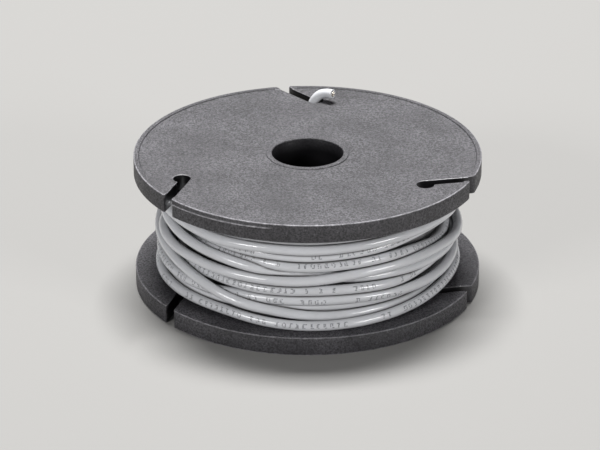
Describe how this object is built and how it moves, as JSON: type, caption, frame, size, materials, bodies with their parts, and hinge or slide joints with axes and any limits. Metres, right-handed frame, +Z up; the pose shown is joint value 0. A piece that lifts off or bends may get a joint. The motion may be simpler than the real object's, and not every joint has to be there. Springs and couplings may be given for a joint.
{
  "type": "wire spool",
  "caption": "Small two-flange plastic spool filled with wound insulated wire, with a centre bore for a spindle and leaning keyholes in its rims that hold the wire's end.",
  "frame": {"origin": "centre of the lower flange's outer face, on the bore's axis, at the surface that the spool stands on", "axes": "+Z up along the bore, +Y towards the keyhole that holds the wire's free end, to within a few degrees, +X to the right when that keyhole is at the back"},
  "size_m": [0.0634, 0.0634, 0.0282],
  "materials": {
    "spool_plastic": "moulded polystyrene, fine matt grain",
    "wire_insulation": "extruded PVC, soft gloss",
    "tinned_copper": "tinned copper strand, cut"
  },
  "bodies": {
    "root": {"barrel": "spool_plastic", "upper_flange": "spool_plastic", "lower_flange": "spool_plastic", "wire_inner_layers": "wire_insulation", "wire_outer_layer": "wire_insulation", "conductor_strands": "tinned_copper"}
  },
  "joints": []
}
